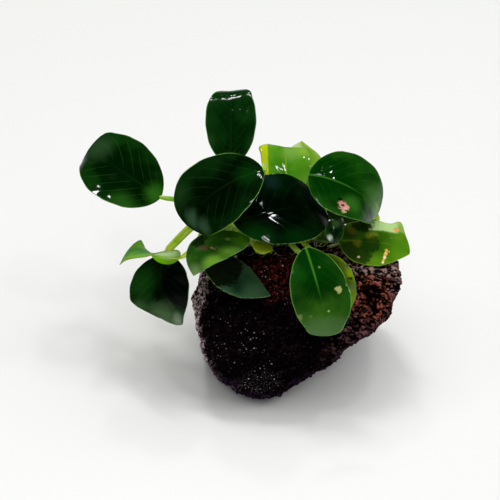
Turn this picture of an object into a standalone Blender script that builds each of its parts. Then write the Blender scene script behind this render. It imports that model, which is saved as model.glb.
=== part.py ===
"""A small anubias growing on a lump of lava rock.

The stone rests on its own flat underside.  A rhizome lies along the stone's top, held by
roots that clasp the stone, and every leaf is a blade at the end of its own petiole.
Metres, +Z up.  The origin is the middle of the face that the stone rests on.
"""
import math

import bmesh
import bpy
import numpy as np
from mathutils import Vector, noise
from mathutils.bvhtree import BVHTree

MM = 0.001
GAP = 0.3  # mm, clearance between pieces that touch

# --- driving dimensions -------------------------------------------------------------------

STONE_CENTRE = (10, -5, 25)  # mm, the point that the stone's flats are measured from
FAR_OUT = 200  # mm, well outside the stone
STONE_LEVEL = 5  # icosphere subdivisions
STONE_KEPT = 0.62  # share of the icosphere's triangles that the stone keeps
STONE_ROUNDING = 15.0  # higher is sharper between two flats
STONE_LUMP = 1.6  # mm, broad lumps
LUMPS_AROUND = 3.1  # how close together the broad lumps are
LUMP_SEED = Vector((4, 1, 7))
LUMP_OCTAVES = (0.8, 2.1, 3)  # noise that the broad lumps are made of
STONE_KNOLL = 1.1  # mm, lumps that stand about KNOLL_SPACING mm apart
KNOLL_SPACING = 9.0
KNOLL_SEED = Vector((25.9, 13.3, 37.1))
KNOLL_OCTAVES = (0.9, 2.0, 2)
STONE_NUBBLE = 0.7  # mm, small lumps
NUBBLES_AROUND = 15
REST_TOLERANCE = 0.03  # mm, what lies this low belongs to the resting face

# Flats of the stone: outward direction and distance from the centre in mm.
STONE_FLATS = [
    ((-1.00, 0.00, 0.00), 36.5),  # left
    ((-0.96, -0.16, -0.23), 38.5),  # left, undercut
    ((-0.45, -0.51, -0.73), 35.8),  # front left, undercut
    ((0.65, -0.44, -0.63), 22.7),  # right, leaning out over the floor
    ((0.55, -0.48, -0.69), 23.9),
    ((0.97, -0.13, -0.34), 31.7),  # right end
    ((0.72, 0.28, 0.64), 45.8),  # right shoulder
    ((0.00, -1.00, 0.00), 29.0),  # front
    ((0.00, -0.86, -0.50), 34.1),  # front, undercut
    ((-0.10, -0.62, 0.78), 18.5),  # sloping front of the top
    ((0.00, 0.06, 1.00), 23.0),  # top
    ((-0.62, 0.20, 0.76), 33.0),  # left shoulder
    ((0.10, 0.76, 0.64), 32.0),  # back of the top
    ((0.05, 1.00, -0.10), 30.0),  # back
    ((-0.10, 0.80, -0.60), 34.0),  # back, undercut
    ((0.00, 0.00, -1.00), 26.0),  # underside, cut at the resting face
]

# Hollows in the stone: middle (mm), radius and depth (mm); a depth below 0 is a boss.
STONE_HOLLOWS = [
    ((38.0, -17.5, 42.0), 5.0, 4.0),
    ((46.0, -9.0, 36.0), 4.5, 2.4),
    ((-1.0, -26.0, 36.0), 5.0, 1.8),
    ((-23.0, -25.0, 20.0), 5.5, 1.6),
    ((17.0, -34.0, 14.0), 6.0, 1.6),
    ((-5.0, 23.0, 26.0), 7.0, 2.6),
    ((29.0, 20.0, 30.0), 6.0, 2.4),
    ((30.0, -30.0, 28.0), 6.0, 1.4),
    ((-27.5, 16.0, 28.0), 6.0, 2.2),
    ((-21.0, -26.5, 14.0), 6.0, 1.4),
    ((41.5, -17.5, 30.0), 6.0, -2.8),
    ((-27.0, -7.0, 32.0), 6.0, -2.2),
]

# Rhizome: points along its middle and its radius there, mm.
RHIZOME = [
    ((-24.0, 8.0, 53.6), 2.6),
    ((-19.0, 7.5, 53.8), 3.9),
    ((-9.0, 6.0, 53.6), 4.3),
    ((1.0, 7.5, 53.4), 4.4),
    ((11.0, 8.5, 53.4), 4.3),
    ((18.0, 7.5, 53.8), 3.9),
    ((23.0, 6.5, 54.4), 2.7),
]
RHIZOME_SIDES = 14
RHIZOME_RINGS = 26
RHIZOME_END = 0.72  # share of the radius that is left at either tip
SCAR_SPACING = 3.3  # mm between leaf scars
SCAR_RIDGE = 0.22  # mm that a scar stands out

BLADE_STEPS = 10  # along a blade
BLADE_COLUMNS = 4  # across a blade
BLADE_THICKNESS = 0.55  # mm
CURL_FROM = 0.55  # share of a blade's length where its tip starts to curl
BLADE_BASE_ROUNDNESS, BLADE_TIP_ROUNDNESS = (2.2, 0.62), (2.1, 0.8)  # powers of the outline
CUP_POWER = 1.7  # how late a cupped blade's margins rise
RIB_STEPS = 96  # steps that a midrib is worked out in
PETIOLE_RADIUS = 1.0  # mm
PETIOLE_TAPER = (1.15, 0.90)  # shares of that radius at the foot and at the blade
PETIOLE_ARCH = 0.36  # share of a petiole's reach that its handles take
PETIOLE_SEGMENTS = 9
PETIOLE_SIDES = 6


def leaf(name, base, foot, **form):
    """One leaf: where its blade starts, where its petiole leaves the rhizome, and its form."""
    form.update(name=name, base=Vector(base), foot=foot)
    return form


# Leaves.  base: start of the blade, mm.  foot: share of the way along the rhizome, and the
# side that the petiole leaves it on in degrees (0 is up, 90 to the back, -90 to the front).
# heading, pitch, roll: direction of the blade at its base, degrees.  bend, curl, sway, twist:
# how much the midrib sinks, the tip curls down, the midrib turns, and the blade twists.
# cup: rise of the margins.  widest: where the blade is broadest.  arrive: direction, as
# heading and pitch, in which the petiole meets the blade.  arch: how far the petiole bows.
# gap: how far short of the blade it ends, mm.
LEAVES = [
    leaf("far_left", (-39.6, 9, 67.9), (0.12, 60), arrive=(178, 8), heading=164, pitch=30, roll=-18,
         length=37.8, width=29.5, bend=6, curl=92, sway=-13, twist=-2, cup=0.03, widest=0.49),
    leaf("centre_left", (-1.5, 4, 82.8), (0.46, 75), arrive=(-95, 5), arch=0.45, gap=1.7, heading=192,
         pitch=-8, roll=-12, length=40.0, width=33.0, bend=45, curl=83, sway=19, twist=-1, cup=0.04,
         widest=0.51),
    leaf("top", (-13.9, 21, 74.7), (0.36, 70), arrive=(90, 80), heading=87, pitch=65, roll=-2,
         length=35.3, width=19.1, bend=24, curl=102, sway=5, twist=-2, cup=0.10, widest=0.48),
    leaf("centre", (-12.8, -4, 65.6), (0.22, -20), arrive=(0, 60), heading=17, pitch=8, roll=27,
         length=42.0, width=31.6, bend=22, curl=45, sway=17, twist=-7, cup=0.05, widest=0.51),
    leaf("twisted_left", (-32.4, -5, 50.4), (0.04, -50), arrive=(190, -20), heading=199, pitch=19, roll=73,
         length=24.7, width=19.2, bend=10, curl=110, sway=-42, twist=-85, cup=-0.03, widest=0.54),
    leaf("lower_left", (-39.1, 2, 46.8), (0.07, 0), arrive=(208, -38), gap=1.3, heading=259, pitch=-32,
         roll=21, length=27.4, width=25.7, bend=27, curl=77, sway=27, twist=14, cup=0.10, widest=0.50),
    leaf("front_hanging", (13.3, -16, 62.7), (0.60, -80), arrive=(-90, 70), gap=1.2, heading=-64, pitch=-44,
         roll=-1, length=35.1, width=21.6, bend=-3, curl=69, sway=-13, twist=8, cup=0.10, widest=0.54),
    leaf("behind_front", (20.2, -13.4, 58.0), (0.72, -80), arrive=(-80, 45), heading=-59, pitch=-51, roll=1,
         length=25.4, width=17.6, bend=11, curl=24, sway=0, twist=-2, cup=0.05, widest=0.50),
    leaf("over_stone", (-22.7, -11, 54.7), (0.12, -80), arrive=(-60, 20), heading=-26, pitch=-26, roll=9,
         length=27.7, width=17.8, bend=0, curl=-23, sway=9, twist=-13, cup=0.04, widest=0.47),
    leaf("spotted_left", (-6.9, -4, 58.6), (0.27, -70), arrive=(-90, 50), gap=1.2, heading=206, pitch=6,
         roll=2, length=28.6, width=18.2, bend=18, curl=83, sway=20, twist=0, cup=0.12, widest=0.52),
    leaf("bright_back", (7.5, 17, 61.6), (0.56, 60), arrive=(90, 60), heading=92, pitch=54, roll=4,
         length=27.3, width=19.2, bend=25, curl=104, sway=0, twist=6, cup=0.09, widest=0.55),
    leaf("yellow_tip", (15.6, 27, 61.4), (0.68, 80), arrive=(90, 45), heading=93, pitch=35, roll=14,
         length=22.8, width=14.6, bend=23, curl=6, sway=3, twist=8, cup=0.15, widest=0.50),
    leaf("upper_right", (15.2, 14, 74.8), (0.90, 88), arrive=(-118, 22), arch=0.58, gap=1.2, heading=-15,
         pitch=2, roll=20, length=34.0, width=32.0, bend=51, curl=51, sway=-6, twist=-17, cup=0.07,
         widest=0.46),
    leaf("right", (26.6, 3, 52.8), (0.85, -85), arrive=(-5, 10), heading=-9, pitch=2, roll=28,
         length=27.8, width=19.2, bend=3, curl=42, sway=0, twist=0, cup=-0.04, widest=0.47),
    leaf("sliver_right", (20.5, 24, 52.5), (0.79, 100), arrive=(40, 0), gap=1.2, heading=-8, pitch=4,
         roll=12, length=26.0, width=15.0, bend=8, curl=20, sway=-6, twist=0, cup=0.1, widest=0.50),
    leaf("small_round", (24.4, -1, 64.6), (0.98, -80), arrive=(-80, 50), heading=-92, pitch=-30, roll=0,
         length=9.0, width=6.8, bend=30, curl=30, sway=0, twist=0, cup=0.45, widest=0.50),
    leaf("old_yellow", (-5.6, -10, 59.4), (0.42, -80), arrive=(-95, 30), gap=1.0, heading=-6, pitch=-6,
         roll=22, length=8.0, width=6.4, bend=10, curl=20, sway=0, twist=0, cup=0.1, widest=0.45),
]
# Radii of the petioles that aren't the usual one, mm.
PETIOLE_RADII = {"lower_left": 1.7, "old_yellow": 0.8, "small_round": 0.8, "sliver_right": 0.8}

# The rolled young leaf at the growing end: points along it and its radius there, mm.
SPEAR = [
    ((25.0, 6.0, 55.4), 1.2),
    ((26.4, 3.6, 57.4), 1.6),
    ((27.0, 1.2, 60.2), 1.6),
    ((27.0, -0.6, 63.4), 1.1),
    ((26.7, -1.6, 66.0), 0.4),
]

# Roots: name, share of the way along the rhizome, heading in degrees, length and radius in mm.
ROOTS = [
    ("front_left", 0.12, 290, 14, 0.55),
    ("left", 0.05, 150, 26, 0.50),
    ("back_left", 0.32, 100, 36, 0.55),
    ("back_right", 0.68, 75, 34, 0.55),
    ("right", 0.95, 25, 26, 0.50),
]
ROOT_START = 6.0  # mm from the rhizome's middle to where a root meets the stone
ROOT_STEP = 2.6  # mm between a root's points
ROOT_WANDER = 22  # degrees that a root strays by
ROOT_BENDS = 0.35  # how often a root changes its way
ROOT_CLEARANCE = 0.5  # mm between a root and the stone
ROOT_TAPER = (1.1, 0.6)  # shares of a root's radius at its start and its end
ROOT_DROP = (-25, -75)  # degrees that a root heads down by at its start and its end
ROOT_SIDES = 6
SPEAR_POINTS = 9
SPEAR_SIDES = 8

# colour, roughness
STONE_LOOK = ((0.075, 0.035, 0.032), 0.75)
RHIZOME_LOOK = ((0.12, 0.16, 0.03), 0.55)
ROOT_LOOK = ((0.50, 0.48, 0.34), 0.6)
STALK_LOOK = ((0.20, 0.42, 0.03), 0.4)
SPEAR_LOOK = ((0.17, 0.30, 0.04), 0.4)
DARK = (0.010, 0.070, 0.018)
MID = (0.030, 0.170, 0.020)
BRIGHT = (0.100, 0.350, 0.030)
YELLOW = (0.450, 0.500, 0.030)
BLADE_COLOURS = {
    "bright_back": BRIGHT, "twisted_left": BRIGHT, "yellow_tip": YELLOW, "old_yellow": YELLOW,
    "sliver_right": YELLOW, "front_hanging": MID, "behind_front": MID, "right": MID, "spotted_left": MID,
    "upper_right": MID,
}
BLADE_ROUGHNESS = 0.3


# --- shapes -------------------------------------------------------------------------------

def direction(heading, pitch):
    """Unit vector for a heading from +X and a pitch above level, degrees."""
    h, p = math.radians(heading), math.radians(pitch)
    return Vector((math.cos(p) * math.cos(h), math.cos(p) * math.sin(h), math.sin(p)))


def smooth_through(knots, count):
    """Points and radii at even steps of a Catmull-Rom curve through knots of (point, radius)."""
    rows = np.array([[*point, radius] for point, radius in knots], float)
    rows = np.vstack([2 * rows[0] - rows[1], rows, 2 * rows[-1] - rows[-2]])
    spans = len(rows) - 3
    out = []
    for u in np.linspace(0, spans, count):
        i = min(int(u), spans - 1)
        t = u - i
        a, b, c, d = rows[i:i + 4]
        out.append(0.5 * (2 * b + (c - a) * t + (2 * a - 5 * b + 4 * c - d) * t ** 2
                          + (3 * b - a - 3 * c + d) * t ** 3))
    return [(Vector(row[:3]), row[3]) for row in out]


def half_width(s, widest):
    """Share of a blade's half width at the share s of its length."""
    if s < widest:
        away, (inner, outer) = (widest - s) / widest, BLADE_BASE_ROUNDNESS
    else:
        away, (inner, outer) = (s - widest) / (1 - widest), BLADE_TIP_ROUNDNESS
    return max(0.0, 1 - away ** inner) ** outer


def midrib(form):
    """Points, across directions and upper-face directions at even steps along a blade, mm."""
    s = np.linspace(0, 1, RIB_STEPS + 1)
    curling = np.clip((s - CURL_FROM) / (1 - CURL_FROM), 0, 1) ** 1.5
    pitch = np.radians(form["pitch"] - form["bend"] * s - form["curl"] * curling)
    yaw = np.radians(form["heading"] + form["sway"] * s)
    roll = np.radians(form["roll"] + form["twist"] * s)[:, None]
    ahead = np.stack([np.cos(pitch) * np.cos(yaw), np.cos(pitch) * np.sin(yaw), np.sin(pitch)], 1)
    strides = (ahead[1:] + ahead[:-1]) / 2 * form["length"] / RIB_STEPS
    points = np.vstack([np.zeros(3), np.cumsum(strides, 0)]) + np.array(form["base"])
    left = np.stack([-np.sin(yaw), np.cos(yaw), np.zeros_like(yaw)], 1)
    up = np.cross(ahead, left)
    across = left * np.cos(roll) + up * np.sin(roll)
    facing = up * np.cos(roll) - left * np.sin(roll)
    return points, across, facing


def blade_point(form, rib, s, t):
    """Point of a blade at the share s of its length and t across it, from -1 to 1, mm."""
    points, across, facing = rib
    step = s * (len(points) - 1)
    i = min(int(step), len(points) - 2)
    mix = step - i
    middle, side, top = (a[i] * (1 - mix) + a[i + 1] * mix for a in (points, across, facing))
    half = half_width(s, form["widest"]) * form["width"] / 2
    return middle + side * t * half + top * form["cup"] * half * abs(t) ** CUP_POWER


def stone_radius(way):
    """Distance in mm from the stone's centre to its surface, in the unit direction way."""
    flats = sum((max(0.0, Vector(out).normalized().dot(way)) / reach) ** STONE_ROUNDING
                for out, reach in STONE_FLATS)
    radius = flats ** (-1 / STONE_ROUNDING)
    radius += STONE_LUMP * noise.fractal(way * LUMPS_AROUND + LUMP_SEED, *LUMP_OCTAVES)
    radius += STONE_NUBBLE * noise.noise(way * NUBBLES_AROUND)
    spot = Vector(STONE_CENTRE) + way * radius
    radius += STONE_KNOLL * noise.fractal(spot / KNOLL_SPACING + KNOLL_SEED, *KNOLL_OCTAVES)
    for middle, size, depth in STONE_HOLLOWS:
        radius -= depth * math.exp(-((spot - Vector(middle)).length / size) ** 2)
    return radius


# --- pieces -------------------------------------------------------------------------------

def clear_scene():
    for old in list(bpy.data.objects):
        bpy.data.objects.remove(old, do_unlink=True)


def material(name, colour, roughness):
    made = bpy.data.materials.new(name)
    made.use_nodes = True
    shader = made.node_tree.nodes["Principled BSDF"]
    shader.inputs["Base Color"].default_value = (*colour, 1)
    shader.inputs["Roughness"].default_value = roughness
    shader.inputs["Metallic"].default_value = 0
    return made


def place(name, data, look):
    """Link an object that holds the mesh or curve and wears the look."""
    made = bpy.data.objects.new(name, data)
    data.materials.append(look)
    bpy.context.scene.collection.objects.link(made)
    return made


def tube(name, run, look, sides):
    """A capped tube along run, a list of (point, radius) in mm."""
    curve = bpy.data.curves.new(name, "CURVE")
    curve.dimensions = "3D"
    curve.bevel_depth = MM
    curve.bevel_resolution = sides // 2 - 2
    curve.use_fill_caps = True
    spline = curve.splines.new("POLY")
    spline.points.add(len(run) - 1)
    for knot, (point, radius) in zip(spline.points, run):
        knot.co = (*(Vector(point) * MM), 1)
        knot.radius = radius
    return place(name, curve, look)


def build_stone():
    shape = bmesh.new()
    bmesh.ops.create_icosphere(shape, subdivisions=STONE_LEVEL, radius=1)
    centre = Vector(STONE_CENTRE)
    for vert in shape.verts:
        way = vert.co.normalized()
        spot = centre + way * stone_radius(way)
        spot.z = max(spot.z, 0)
        vert.co = spot * MM
    mesh = bpy.data.meshes.new("lava_rock")
    shape.to_mesh(mesh)
    shape.free()
    stone = place("lava_rock", mesh, material("wet_lava", *STONE_LOOK))
    thin = stone.modifiers.new("fewer faces", "DECIMATE")
    thin.ratio = STONE_KEPT
    thinned = stone.evaluated_get(bpy.context.evaluated_depsgraph_get())
    stone.data = bpy.data.meshes.new_from_object(thinned)
    stone.modifiers.clear()
    for vert in stone.data.vertices:
        if vert.co.z < REST_TOLERANCE * MM:
            vert.co.z = 0
    stone.data.shade_smooth()
    return stone


def rhizome_run():
    """Points and radii along the rhizome, with a ring at each leaf scar."""
    run = smooth_through(RHIZOME, RHIZOME_RINGS)
    walked, ringed = 0.0, []
    for i, (point, radius) in enumerate(run):
        if i:
            walked += (point - run[i - 1][0]).length
        ridge = SCAR_RIDGE * math.sin(math.tau * walked / SCAR_SPACING)
        at_tip = i in (0, len(run) - 1)
        ringed.append((point, (radius + ridge) * (RHIZOME_END if at_tip else 1)))
    return ringed


def foot_of(form, run):
    """Where a leaf's petiole leaves the rhizome, and the direction it leaves in, mm."""
    share, side = form["foot"]
    step = share * (len(run) - 1)
    i = min(int(step), len(run) - 2)
    point = run[i][0].lerp(run[i + 1][0], step - i)
    radius = max(run[i][1], run[i + 1][1])
    along = (run[i + 1][0] - run[i][0]).normalized()
    back = Vector((0, 0, 1)).cross(along).normalized()
    up = along.cross(back)
    turn = math.radians(side)
    out = up * math.cos(turn) + back * math.sin(turn)
    return point + out * (radius + GAP), out


def petiole_run(form, run):
    """Points and radii of a petiole, a cubic curve from the rhizome to just short of its blade."""
    foot, out = foot_of(form, run)
    arrive = direction(*form["arrive"])
    end = form["base"] - arrive * form.get("gap", BLADE_THICKNESS)
    reach = form.get("arch", PETIOLE_ARCH) * (end - foot).length
    knots = [foot, foot + out * reach, end - arrive * reach, end]
    thick = PETIOLE_RADII.get(form["name"], PETIOLE_RADIUS)
    wide, narrow = PETIOLE_TAPER
    made = []
    for step in range(PETIOLE_SEGMENTS + 1):
        t = step / PETIOLE_SEGMENTS
        weights = ((1 - t) ** 3, 3 * t * (1 - t) ** 2, 3 * t ** 2 * (1 - t), t ** 3)
        point = sum((knot * weight for knot, weight in zip(knots, weights)), Vector())
        made.append((point, thick * (wide + (narrow - wide) * t)))
    return made


def build_blade(form):
    shape = bmesh.new()
    bmesh.ops.create_grid(shape, x_segments=BLADE_STEPS, y_segments=BLADE_COLUMNS, size=1)
    rib = midrib(form)
    for vert in shape.verts:
        s = (1 - math.cos(math.pi * (vert.co.x + 1) / 2)) / 2
        vert.co = Vector(blade_point(form, rib, s, vert.co.y)) * MM
    bmesh.ops.remove_doubles(shape, verts=shape.verts, dist=1e-6)
    mesh = bpy.data.meshes.new("blade_" + form["name"])
    shape.to_mesh(mesh)
    shape.free()
    mesh.shade_smooth()
    colour = BLADE_COLOURS.get(form["name"], DARK)
    blade = place(mesh.name, mesh, material(mesh.name, colour, BLADE_ROUGHNESS))
    body = blade.modifiers.new("thickness", "SOLIDIFY")
    body.thickness = BLADE_THICKNESS * MM
    body.offset = 0
    return blade


def root_run(surface, start, heading, length, radius):
    """Points and radii of a root that follows the stone from beside the rhizome, mm."""
    centre = Vector(STONE_CENTRE)
    way = (start - centre).normalized()
    made = []
    steps = int(length / ROOT_STEP)
    for step in range(steps + 1):
        share = step / steps
        hit, normal, _, _ = surface.ray_cast((centre + way * FAR_OUT) * MM, -way)
        spot = hit / MM
        taper = ROOT_TAPER[0] + (ROOT_TAPER[1] - ROOT_TAPER[0]) * share
        made.append((spot + normal * (radius + ROOT_CLEARANCE), radius * taper))
        stray = ROOT_WANDER * noise.noise(Vector((step * ROOT_BENDS, heading, length)))
        ahead = direction(heading + stray, ROOT_DROP[0] + (ROOT_DROP[1] - ROOT_DROP[0]) * share)
        level = (ahead - way * ahead.dot(way)).normalized()
        way = (spot + level * ROOT_STEP - centre).normalized()
    return made


def build():
    clear_scene()
    surface = BVHTree.FromObject(build_stone(), bpy.context.evaluated_depsgraph_get())
    run = rhizome_run()
    tube("rhizome", run, material("rhizome", *RHIZOME_LOOK), RHIZOME_SIDES)
    stalk = material("petiole", *STALK_LOOK)
    for form in LEAVES:
        build_blade(form)
        tube("petiole_" + form["name"], petiole_run(form, run), stalk, PETIOLE_SIDES)
    spear = material("young_leaf", *SPEAR_LOOK)
    tube("rolled_young_leaf", smooth_through(SPEAR, SPEAR_POINTS), spear, SPEAR_SIDES)
    root = material("root", *ROOT_LOOK)
    for name, share, heading, length, radius in ROOTS:
        start = run[round(share * (len(run) - 1))][0] + direction(heading, 0) * ROOT_START
        tube("root_" + name, root_run(surface, start, heading, length, radius), root, ROOT_SIDES)


build()
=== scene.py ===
"""Looks of a small anubias that grows on a lump of wet lava rock.

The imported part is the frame.  Each piece made here is a finer form of its solids, built from
the same measures, and wears a finish of its own.  Measures are mm and degrees where they say
so, and the scene is in metres, +Z up.
"""
import math
from types import SimpleNamespace

import bmesh
import bpy
import numpy as np
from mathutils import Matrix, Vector, noise
from mathutils.bvhtree import BVHTree


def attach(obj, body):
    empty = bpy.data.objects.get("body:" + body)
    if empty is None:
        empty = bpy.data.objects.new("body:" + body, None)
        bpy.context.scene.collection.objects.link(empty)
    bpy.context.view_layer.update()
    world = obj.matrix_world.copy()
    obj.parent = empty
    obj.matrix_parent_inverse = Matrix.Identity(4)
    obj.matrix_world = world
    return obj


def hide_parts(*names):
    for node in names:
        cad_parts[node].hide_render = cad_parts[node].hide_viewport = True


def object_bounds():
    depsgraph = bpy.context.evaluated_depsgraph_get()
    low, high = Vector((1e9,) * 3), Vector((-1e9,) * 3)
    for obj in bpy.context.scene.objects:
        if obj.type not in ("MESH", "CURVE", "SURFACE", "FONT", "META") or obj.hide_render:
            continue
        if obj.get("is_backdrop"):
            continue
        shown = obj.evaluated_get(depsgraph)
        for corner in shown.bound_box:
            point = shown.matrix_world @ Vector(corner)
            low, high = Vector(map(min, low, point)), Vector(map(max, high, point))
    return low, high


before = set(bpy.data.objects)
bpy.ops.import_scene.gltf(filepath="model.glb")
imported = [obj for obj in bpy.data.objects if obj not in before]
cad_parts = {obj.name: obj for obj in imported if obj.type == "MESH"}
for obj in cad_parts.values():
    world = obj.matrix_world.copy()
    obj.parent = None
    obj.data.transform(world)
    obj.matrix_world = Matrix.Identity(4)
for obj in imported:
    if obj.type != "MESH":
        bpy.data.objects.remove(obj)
solid_low, solid_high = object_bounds()

MM = 0.001

# --- view ---

LOOK_AT = (-6.5, 7, 45.5)  # mm
CAMERA_DISTANCE = 450  # mm
CAMERA_ELEVATION = 35
LENS = 85
FLOOR_REACH = 3  # m from the middle to each side
# Light of the room: as pale as the floor round the horizon, and nearly dark overhead.
HORIZON_LIGHT, OVERHEAD_LIGHT = (0.8, 0.8, 0.8), (0.01, 0.01, 0.011)
HORIZON_FADE = (-0.05, 0.46)  # heights, as sines, between which one turns into the other
# Lamps: name, heading, height, metres away, metres across either way, degrees that they are
# turned by, watts, and whether surfaces mirror them.
LAMPS = [
    ("ceiling", 0, 82, 2, (4, 4), 0, 57, False),
    ("front", -90, 40, 2.4, (1.2, 0.8), 0, 5, False),
    ("right", -8, 42, 2.2, (0.4, 0.4), 0, 5, False),
    ("left", 182, 44, 2.2, (0.4, 0.4), 0, 2.5, False),
    ("spark_middle", 46, 69.5, 2, (0.05, 0.05), 0, 0.8, True),
    ("spark_far", 25, 74.5, 2, (0.16, 0.1), 30, 2.6, True),
    ("spark_top", 112, 72.5, 2, (0.8, 0.2), -60, 9, True),
    ("spark_left", 103, 54, 2, (0.1, 0.1), 0, 2, True),
    ("spark_small", 68, 75, 2, (0.04, 0.03), 0, 0.3, True),
    ("spark_right", -42, 55.5, 2, (0.14, 0.1), 0, 2, True),
    ("spark_front", -109, 55, 2, (0.03, 0.03), 0, 0.12, True),
]

# --- stone ---

STONE_CENTRE = (10, -5, 25)  # mm, the point that the roots are laid out from
VOXEL = 0.47  # mm, size of the stone's faces
SMOOTHING = 8  # rounds that take the solid's flats away
LUMPS = [(1.6, 1.2), (0.9, 0.4)]  # lumps with creases between, mm across and mm high
GRAINS = (1.25, 0.5)  # round grains on them, the same
GRAIN_ROOM = 0.62  # share of that spacing that a grain takes
PITS = (4.2, 0.9)  # pits, mm apart and mm deep
PIT_ROOM = (0.16, 0.22)  # share of that spacing that a pit takes, and how much this varies
STRAY = (2.4, 0.8)  # mm between the crust pattern's bends, and mm that they reach
STRAY_SHIFTS = [Vector((0, 0, 0)), Vector((31.7, 5.2, 11.9)), Vector((-8.3, 47.1, 20.6))]
DRAWN_WAY = Vector((10, -6, -7)).normalized()  # the way the lumps are drawn out on the right
DRAWN_OUT = 0.3  # how much longer they are that way
DRAWN_FROM = (18, 40)  # mm to the right where this starts and is full
CREASE = 2.1  # how steeply a lump rises from the creases
CRUST_LEVEL = 0.4  # share of a lump or grain that lies below the smoothed solid
ROUGHNESS = (0.6, 0.8, 7)  # share of the relief, how much that varies, and over how many mm
CRUST_FADE = 1.5  # mm above the resting face by which the crust has its full height
CAVITY = (37, -18, 42.5)  # mm, a hollow that is painted dark as its shade, with rust round it
CROWN = (7, -6, 47)  # mm, the middle of the red stretch at the top
# Wet stretches, with a wet shine and painted glints: place and reach in mm, and the share of both there.
WET = [((-5, -22, 40), 5, 1), ((-12, -28, 30), 15, 0.35), ((-3, -33, 15), 10, 1.2), ((7, -6, 47), 17, 0.8)]
# Painted glints, dots of painted highlight: mm apart, and the shares of that at which one ends and is full.
SPARKLES = [(1.6, 0.15, 0.06), (2.7, 0.14, 0.07)]

# --- plant ---

# Rhizome: points along its middle and its radius there, mm.
RHIZOME = [
    ((-24, 8, 53.6), 2.6), ((-19, 7.5, 53.8), 3.9), ((-9, 6, 53.6), 4.3), ((1, 7.5, 53.4), 4.4),
    ((11, 8.5, 53.4), 4.3), ((18, 7.5, 53.8), 3.9), ((23, 6.5, 54.4), 2.7),
]
RHIZOME_RINGS = 26  # rings of the solid, from which each stalk's place is counted
RHIZOME_DETAIL = 8  # rings of the looks for each of those
RHIZOME_SIDES = 36
RHIZOME_TIP = 0.2  # share of the radius that is left at either tip
SCAR_SPACING = 3.3  # mm between leaf scars
SCAR_RIDGE = 0.35  # mm that a scar stands out

GAP = 0.3  # mm between the solids of a stalk and the rhizome
BLADE_THICKNESS = 0.55  # mm
BLADE_STEPS = 88  # along a blade
BLADE_COLUMNS = 44  # across a blade
CURL_FROM = 0.55  # share of a blade's length where its tip starts to curl
BASE_ROUNDNESS, TIP_ROUNDNESS = (2.2, 0.62), (2.1, 0.8)  # powers of the outline
CUP_POWER = 1.7  # how late a cupped blade's margins rise
VEINS = 8  # side veins in a blade's length
VEIN_SWEEP = 0.37  # share of the length that a side vein runs forward by
VEIN_BOW = 1.12  # how late it turns forward
VEIN_RELIEF = 0.022  # mm
RIB_GROOVE = (0.12, 0.9)  # mm deep and mm to either side
RIB_EDGE = (0.75, 0.15)  # mm from the midrib where its tone ends and where it is full
RIB_NARROWS = 0.35  # mm that these have come in by at the tip
RIM_EDGE = (0.42, 0.12)  # mm from the margin where the rim's tone ends and where it is full
MARGIN_WAVE = 0.4  # mm
MARGIN_WAVES = 3.2  # in a blade's length
WAVY_WIDTH = 18  # mm, blades narrower than this wave less
OUTLINE_WAVE = 0.007  # share of the width that the margin strays by
OUTLINE_WAVES = (2.3, 5.1)  # in a blade's length
CORNER_WIDTH = 0.07  # share of the length that a corner takes

STALK_RADIUS = 1  # mm
STALK_TAPER = (1.15, 0.9)  # shares of that radius at the foot and at the blade
STALK_ARCH = 0.36  # share of a stalk's reach that its handles take
STALK_STEPS = 44
STALK_SIDES = 16
STALK_EASING = 8  # rounds that take the corner between stalk and rib away
STALK_GROOVE = (0.24, 0.6)  # share of the radius that its upper side is hollowed by, and radians wide
SHEATH = (0.55, 0.1)  # how much wider the foot is, and over what share of the stalk
SUNK = 1  # mm that the foot goes into the rhizome
KEEL_END = 0.93  # share of the blade where the rib under it ends
KEEL_RADII = (0.55, 0.12)  # mm of that rib where it starts and ends
KEEL_DROP = 0.05  # mm that it hangs below the blade's middle


def leaf(name, base, foot, arrive, way, size, bends, cup, arch=STALK_ARCH, gap=BLADE_THICKNESS,
         thick=STALK_RADIUS, point=TIP_ROUNDNESS[1], full_left=BASE_ROUNDNESS[1], corners=()):
    """One leaf's measures by their names."""
    base = np.array(base, float)
    heading, pitch, roll = way
    length, width, widest = size
    bend, curl, sway, twist = bends
    return SimpleNamespace(**locals())


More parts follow.
